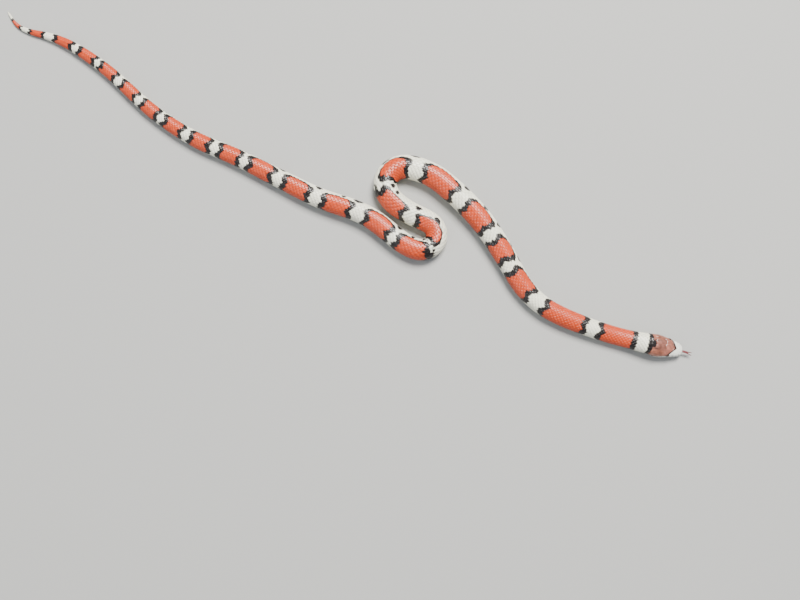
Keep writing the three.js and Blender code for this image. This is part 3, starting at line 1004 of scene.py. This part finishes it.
def lay_plates(name, plates, long_steps, wide_steps, shape, colour_at):
    """Closed plates joined into one mesh: a domed top, a rim and a flat underside in the skin.

    A plate is its distance behind the snout, share round the body, half share and length."""
    middle, share, half_share, length = (plates[:, part][:, None, None] for part in range(4))
    lengthwise = np.linspace(0, 1, long_steps + 1)[None, :, None]
    crosswise = np.linspace(-1, 1, wide_steps + 1)[None, None, :]
    outline, rise = shape(lengthwise, crosswise)
    stretch = 1 - np.interp(middle, route_behind, bend) * outline_at(middle, share)[0]
    give = 1 / np.clip(stretch, *BEND_GIVE) ** BEND_POWER
    point_behind = middle + (lengthwise - PLATE_AHEAD) * length * give + 0 * crosswise
    point_behind = np.clip(point_behind, PLATE_START, BODY_END - PLATE_END_GAP)
    point, normal = surface(point_behind, share + crosswise * half_share * outline)
    depth = PLATE_THICKNESS * np.minimum(1, length / THICK_PLATE_LENGTH) + 0 * rise
    top = point + normal * rise[..., None]
    under = point - normal * depth[..., None]

    count, long_points, wide_points = top.shape[:3]
    per = long_points * wide_points
    points = np.concatenate([top.reshape(count, per, 3), under.reshape(count, per, 3)], axis=1)
    row, column = np.meshgrid(np.arange(long_steps), np.arange(wide_steps), indexing="ij")
    corner = (row * wide_points + column).ravel()
    upper = np.stack([corner, corner + wide_points, corner + wide_points + 1, corner + 1], axis=1)
    rim = np.concatenate([
        np.arange(wide_points), np.arange(1, long_points) * wide_points + wide_points - 1,
        (long_points - 1) * wide_points + np.arange(wide_points - 2, -1, -1),
        np.arange(long_points - 2, 0, -1) * wide_points])
    following = np.roll(rim, -1)
    side = np.stack([rim, following, following + per, rim + per], axis=1)
    one_plate = np.concatenate([upper, side, upper[:, ::-1] + per])
    faces = (one_plate[None] + (np.arange(count) * 2 * per)[:, None, None]).reshape(-1, 4)

    colour = colour_at(plates, lengthwise, crosswise).reshape(count, per, 3)
    patch_middle = unwrap_place(plates[:, 0], plates[:, 1])[:, None, None]
    patch = np.stack([patch_middle[..., 0] + PATCH_HALF_BREADTH * crosswise + 0 * lengthwise,
                      patch_middle[..., 1] + PATCH_LENGTH * (lengthwise - 0.5) + 0 * crosswise],
                     axis=-1).reshape(count, per, 2)
    patch = np.clip(patch, *PATCH_LIMITS)
    piece = add_mesh(name, points.reshape(-1, 3), faces,
                     np.concatenate([colour, colour], axis=1).reshape(-1, 3),
                     np.concatenate([patch, patch], axis=1).reshape(-1, 2))
    piece.data.materials.append(scale_keratin)
    return piece


def back_scale_shape(lengthwise, crosswise):
    """Half breadth and height of a back scale from its front edge to its rounded tip."""
    after = np.clip((lengthwise - SCALE_WIDEST) / (1 - SCALE_WIDEST), 0, 1)
    before = np.clip((SCALE_WIDEST - lengthwise) / SCALE_WIDEST, 0, 1)
    outline = (SCALE_BREADTH * SCALE_OVERLAP * (1 - after ** 2.8) ** 0.5
               * (1 - 0.25 * before ** 2))
    outline = np.maximum(outline, 0.02) + 0 * crosswise
    lifted = (SCALE_BACK_RISE - SCALE_FRONT_DEPTH) * smooth_step(0, 0.8, lengthwise)
    rise = (SCALE_FRONT_DEPTH + lifted - SCALE_EDGE_FALL * crosswise ** 2
            - SCALE_TIP_FALL * smooth_step(0.85, 1, lengthwise))
    return outline, rise


def back_scale_colour(plates, lengthwise, crosswise):
    """Each scale takes the marking under its middle, a shade of its own and a darker tip."""
    middle, share, half_share, length = (plates[:, part][:, None, None] for part in range(4))
    pitch = length / SCALE_LENGTH
    seen_behind = middle + pitch * (0.45 + 0.85 * (lengthwise - 0.7))
    seen_share = share + half_share * crosswise * 0.7
    colour = pigment_at(seen_behind, seen_share)
    shade = shade_draw.normal(1.0, SCALE_VARIATION, len(plates))
    pale = colour[:, PLATE_LONG // 2, (PLATE_WIDE + 1) // 2, 1] > PALE
    shade = np.where(pale, 1 + (shade - 1) * 0.5, shade)
    dark = (TIP_DARKNESS * smooth_step(0.62, 1.0, lengthwise)
            + EDGE_DARKNESS * np.abs(crosswise) ** 3)
    return colour * shade[:, None, None, None] * (1 - dark)[..., None]


shade_draw = np.random.default_rng(3)
scale_keratin = keratin_material("scale_keratin", roughness=0.32, relief_scale=9000.0, coat=0.1)
LENGTHS = (("neck", 0, 34), ("forebody", 34, 92), ("upper_bend", 92, 112),
           ("middle_body", 112, 120), ("lower_bend", 120, 141), ("hind_body", 141, 190),
           ("rump", 190, VENT), ("tail", VENT, PAST_TAIL))
for name, begin, end in LENGTHS:
    chosen = back_plates[(back_plates[:, 0] >= begin) & (back_plates[:, 0] < end)]
    lay_plates(name + "_scales", chosen, PLATE_LONG, PLATE_WIDE, back_scale_shape,
               back_scale_colour)

# Belly scutes
# Broad plates across the belly, one for each step of the back's scales, and in pairs under
# the tail behind the vent.
SCUTES_START = 9.2
SCUTE_LENGTH = 1.35
SCUTE_OVERLAP = 0.015
PAIRED_OVERLAP = 0.012
SCUTE_FRONT_DEPTH = -0.07
SCUTE_LIFT = 0.085
SCUTE_EDGE_FALL = 0.02
SCUTE_LONG = 4
SCUTE_WIDE = 16
DARK_TURN = 0.72
DARK_RARITY = 0.55
DARK_INSIDE = 0.15
DARK_OUTSIDE = 0.8
SCUTE_VARIATION = 0.02

scutes = []
for behind in back_steps[back_steps > SCUTES_START]:
    half = 1 - belly_edge(behind)
    pitch = float(scale_pitch(behind))
    length = pitch * SCUTE_LENGTH
    if behind < VENT:
        scutes.append((behind, 1.0, half + SCUTE_OVERLAP, length))
    else:
        paired_half = half / 2 + PAIRED_OVERLAP
        scutes.append((behind, 1 - half / 2, paired_half, length))
        scutes.append((behind + pitch / 2, -1 + half / 2, paired_half, length))
scutes = np.array(scutes)


def scute_shape(lengthwise, crosswise):
    """Half breadth and height of a scute from its front edge to its straight back edge."""
    outline = 1 - 0.10 * smooth_step(0.75, 1, lengthwise) + 0 * crosswise
    rise = (SCUTE_FRONT_DEPTH + SCUTE_LIFT * smooth_step(0, 0.7, lengthwise)
            - SCUTE_EDGE_FALL * crosswise ** 4)
    return outline, rise


def scute_colour(plates, lengthwise, crosswise):
    """Cream with dark patches that alternate from side to side, as under many such snakes."""
    wave = np.sin(plates[:, 0] * DARK_TURN)[:, None, None]
    out = np.abs(crosswise)
    dark = (wave * np.sign(crosswise) > DARK_RARITY) & (out > DARK_INSIDE) & (out < DARK_OUTSIDE)
    ground = CREAM + 0 * (lengthwise + crosswise)[..., None]
    shade = shade_draw.normal(1.0, SCUTE_VARIATION, len(plates))
    return np.where(dark[..., None], BLACK * 1.5, ground) * shade[:, None, None, None]


for name, begin, end in (("belly_front_scutes", 0, 120), ("belly_hind_scutes", 120, VENT),
                         ("tail_scutes", VENT, PAST_TAIL)):
    chosen = scutes[(scutes[:, 0] >= begin) & (scutes[:, 0] < end)]
    lay_plates(name, chosen, SCUTE_LONG, SCUTE_WIDE, scute_shape, scute_colour)

# Eyes
# Clear, always open scales, each over a dark brown iris and a round black pupil. They are
# balls set in the sockets of the head, turned a little forward and up.
EYE_RINGS = 48
EYE_SIDES = 96
EYE_FORWARD = 0.28
EYE_UPWARD = 0.12
POLE_GAP = 0.002
PUPIL_ANGLE = 0.62
IRIS_RING_ANGLE = 0.70
IRIS_ANGLE = 1.25
PUPIL_BLACK = np.array([0.004, 0.003, 0.003])
IRIS_RING_BROWN = np.array([0.16, 0.07, 0.03])
IRIS_BROWN = np.array([0.045, 0.02, 0.012])
BALL_BLACK = BLACK * 0.6
SPECTACLE_TONES = (0.7, 1.3)
SPECTACLE_UNEVENNESS = 5000.0
SPECTACLE_ROUGHNESS = 0.06
SPECTACLE_COAT_ROUGHNESS = 0.02

spectacle, nodes, links, shader = new_paint("spectacle")
streaks = nodes.new("ShaderNodeTexNoise")
look = place_keratin(nodes, links, streaks, SPECTACLE_TONES)
links.new(look.outputs["Colour"], shader.inputs["Base Color"])
set_inputs(streaks, {"Scale": SPECTACLE_UNEVENNESS})
set_inputs(shader, {"Roughness": SPECTACLE_ROUGHNESS, "Coat Weight": 1.0,
                    "Coat Roughness": SPECTACLE_COAT_ROUGHNESS})

from_axis, turn = np.meshgrid(np.linspace(POLE_GAP, math.pi - POLE_GAP, EYE_RINGS),
                              np.linspace(0, 2 * math.pi, EYE_SIDES, endpoint=False),
                              indexing="ij")
iris = np.where((from_axis < IRIS_RING_ANGLE)[..., None], IRIS_RING_BROWN, IRIS_BROWN)
iris = np.where((from_axis < PUPIL_ANGLE)[..., None], PUPIL_BLACK, iris)
iris = np.where((from_axis > IRIS_ANGLE)[..., None], BALL_BLACK, iris)
eye_colours = np.concatenate([iris.reshape(-1, 3), [PUPIL_BLACK], [BALL_BLACK]])
around_eye = np.arange(EYE_SIDES)
eye_points = EYE_RINGS * EYE_SIDES
eye_faces = np.concatenate([halved(grid_faces(EYE_RINGS, EYE_SIDES)),
                            fan(eye_points, around_eye),
                            fan(eye_points + 1, eye_points - EYE_SIDES + around_eye, turned=True)])
eye_out = [np.interp(EYE_PLACE[0], route_behind, leftward[:, way]) for way in (0, 1)]
eye_ahead = [-np.interp(EYE_PLACE[0], route_behind, tailward[:, way]) for way in (0, 1)]
for side, name in ((1, "eye_left"), (-1, "eye_right")):
    low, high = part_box(name)
    centre = (np.array(low) + np.array(high)) / 2 / MM
    radius = (high[2] - low[2]) / 2 / MM
    axis = np.array([eye_out[0] * side + EYE_FORWARD * eye_ahead[0],
                     eye_out[1] * side + EYE_FORWARD * eye_ahead[1], EYE_UPWARD])
    axis /= np.linalg.norm(axis)
    helper = np.cross(axis, [0, 0, 1.0])
    helper /= np.linalg.norm(helper)
    other = np.cross(axis, helper)
    ball = (np.cos(from_axis)[..., None] * axis + np.sin(from_axis)[..., None]
            * (np.cos(turn)[..., None] * helper + np.sin(turn)[..., None] * other))
    points = np.concatenate([(centre + radius * ball).reshape(-1, 3),
                             [centre + radius * axis], [centre - radius * axis]])
    eye = add_mesh(name + "_ball", points, eye_faces, eye_colours)
    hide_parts(name)
    eye.data.materials.append(spectacle)

# Tongue
# A flat moist stem that splits into two fine tines. Each tine is one tapered length from the
# root to its tip, and the two lie side by side along the stem.
TONGUE_ROOT = 0.8
TONGUE_STEM = 1.6
TONGUE_TINES = 1.3
TONGUE_SPREAD = 0.42
TONGUE_SIDEWAYS = -0.09
TONGUE_HEIGHT = 1.6
TONGUE_DROOP = 0.07
TONGUE_STEPS = 60
TONGUE_SIDES = 24
FORK_EASE = 0.3
FORK_CURVE = 1.3
STEM_SPREAD = 0.14
STEM_HALF_WIDTH = 0.19
TIP_HALF_WIDTH = 0.06
STEM_HALF_HEIGHT = 0.17
TIP_HALF_HEIGHT = 0.06
TIP_ROUNDING = 0.05
TIP_END = 1.004
TONGUE_DARK = (0.10, 0.020, 0.024, 1)
TONGUE_LIGHT = (0.22, 0.055, 0.055, 1)
TONGUE_UNEVENNESS = 2500.0
TONGUE_ROUGHNESS = 0.3
TONGUE_COAT = 0.3

tongue_out = np.linspace(-TONGUE_ROOT, TONGUE_STEM + TONGUE_TINES, TONGUE_STEPS)
past_fork = (tongue_out - TONGUE_STEM + FORK_EASE) / (TONGUE_TINES + FORK_EASE)
past_fork = np.clip(past_fork, 0, 1)
tip_closing = np.sqrt(np.clip((TIP_END - past_fork) / TIP_ROUNDING, 0, 1))
tine_spread = STEM_SPREAD + (TONGUE_SPREAD - STEM_SPREAD) * past_fork ** FORK_CURVE
tine_half = (STEM_HALF_WIDTH - (STEM_HALF_WIDTH - TIP_HALF_WIDTH) * past_fork) * tip_closing
tine_thick = (STEM_HALF_HEIGHT - (STEM_HALF_HEIGHT - TIP_HALF_HEIGHT) * past_fork) * tip_closing
turn = np.linspace(0, 2 * math.pi, TONGUE_SIDES, endpoint=False)
around_tine = np.arange(TONGUE_SIDES)
tine_points = TONGUE_STEPS * TONGUE_SIDES
tongue_points = []
tongue_faces = []
for number, side in enumerate((1, -1)):
    across = (side * tine_spread + TONGUE_SIDEWAYS * (tongue_out + TONGUE_ROOT))[:, None]
    across = across + tine_half[:, None] * np.cos(turn)
    height = (TONGUE_HEIGHT - TONGUE_DROOP * np.clip(tongue_out, 0, None) ** 2)[:, None]
    height = height + tine_thick[:, None] * np.sin(turn)
    back = -tongue_out[:, None] + 0 * across
    flat = route[0] + back[..., None] * tailward[0] + across[..., None] * leftward[0]
    rings = np.concatenate([flat, height[..., None]], axis=-1)
    tongue_points += [rings.reshape(-1, 3), [rings[0].mean(axis=0)], [rings[-1].mean(axis=0)]]
    first = number * (tine_points + 2)
    tip_ring = first + tine_points - TONGUE_SIDES + around_tine
    tongue_faces += [halved(grid_faces(TONGUE_STEPS, TONGUE_SIDES, first)[:, ::-1]),
                     fan(first + tine_points, first + around_tine, turned=True),
                     fan(first + tine_points + 1, tip_ring)]
tongue = add_mesh("tongue_flesh", np.concatenate(tongue_points), np.concatenate(tongue_faces))
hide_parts("tongue")

tongue_flesh, nodes, links, shader = new_paint("tongue_flesh")
uneven = nodes.new("ShaderNodeTexNoise")
tones = nodes.new("ShaderNodeValToRGB")
tones.color_ramp.elements[0].color = TONGUE_DARK
tones.color_ramp.elements[1].color = TONGUE_LIGHT
links.new(uneven.outputs["Fac"], tones.inputs["Fac"])
links.new(tones.outputs["Color"], shader.inputs["Base Color"])
set_inputs(uneven, {"Scale": TONGUE_UNEVENNESS})
set_inputs(shader, {"Roughness": TONGUE_ROUGHNESS, "Coat Weight": TONGUE_COAT})
tongue.data.materials.append(tongue_flesh)

low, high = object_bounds()
